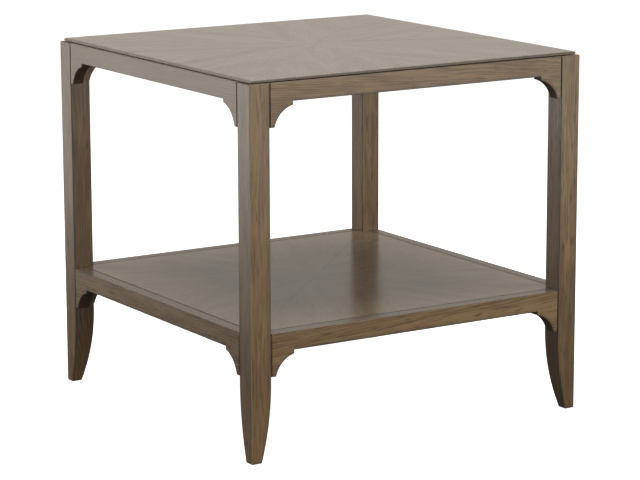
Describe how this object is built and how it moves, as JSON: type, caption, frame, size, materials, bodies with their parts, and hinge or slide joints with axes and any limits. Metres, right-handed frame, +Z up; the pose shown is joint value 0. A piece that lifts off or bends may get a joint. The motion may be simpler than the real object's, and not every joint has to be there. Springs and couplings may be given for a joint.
{
  "type": "end table",
  "caption": "Square oak end table: legs curving in to small feet, arched corner brackets, a low veneered shelf, and a thin-edged top over a shadow gap.",
  "frame": {"origin": "on the floor under the middle of the table", "axes": "+Z up, +X along the front from left to right, +Y from front to back"},
  "size_m": [0.66, 0.66, 0.632],
  "materials": {
    "oak_leg": "weathered grey-brown oak, grain along the leg, satin",
    "oak_apron": "weathered grey-brown oak, grain along the apron, satin",
    "oak_rail": "weathered grey-brown oak, grain along the rail, satin",
    "oak_bracket": "weathered grey-brown oak, satin",
    "oak_lipping": "weathered grey-brown oak strip, satin",
    "oak_top_veneer": "weathered grey-brown oak leaves meeting at the centre, satin",
    "oak_shelf_veneer": "weathered grey-brown oak leaves meeting at the centre, satin",
    "core_board": "fibreboard core, sealed underneath",
    "block_wood": "plain pale hardwood, unfinished",
    "glide_plastic": "matt nylon",
    "screw_steel": "zinc plated"
  },
  "bodies": {
    "root": {"apron_back": "oak_apron", "apron_bracket_back_a": "oak_bracket", "apron_bracket_back_b": "oak_bracket", "apron_bracket_front_a": "oak_bracket", "apron_bracket_front_b": "oak_bracket", "apron_bracket_left_a": "oak_bracket", "apron_bracket_left_b": "oak_bracket", "apron_bracket_right_a": "oak_bracket", "apron_bracket_right_b": "oak_bracket", "apron_front": "oak_apron", "apron_left": "oak_apron", "apron_right": "oak_apron", "corner_block_back_left": "block_wood", "corner_block_back_right": "block_wood", "corner_block_front_left": "block_wood", "corner_block_front_right": "block_wood", "foot_glide_back_left": "glide_plastic", "foot_glide_back_right": "glide_plastic", "foot_glide_front_left": "glide_plastic", "foot_glide_front_right": "glide_plastic", "leg_back_left": "oak_leg", "leg_back_right": "oak_leg", "leg_front_left": "oak_leg", "leg_front_right": "oak_leg", "rail_bracket_back_a": "oak_bracket", "rail_bracket_back_b": "oak_bracket", "rail_bracket_front_a": "oak_bracket", "rail_bracket_front_b": "oak_bracket", "rail_bracket_left_a": "oak_bracket", "rail_bracket_left_b": "oak_bracket", "rail_bracket_right_a": "oak_bracket", "rail_bracket_right_b": "oak_bracket", "shelf_cleat_back": "block_wood", "shelf_cleat_front": "block_wood", "shelf_cleat_left": "block_wood", "shelf_cleat_right": "block_wood", "shelf_core": "core_board", "shelf_rail_back": "oak_rail", "shelf_rail_front": "oak_rail", "shelf_rail_left": "oak_rail", "shelf_rail_right": "oak_rail", "shelf_screws": "screw_steel", "shelf_veneer": "oak_shelf_veneer", "top_core": "core_board", "top_lipping_back": "oak_lipping", "top_lipping_front": "oak_lipping", "top_lipping_left": "oak_lipping", "top_lipping_right": "oak_lipping", "top_screws": "screw_steel", "top_veneer": "oak_top_veneer"}
  },
  "joints": []
}
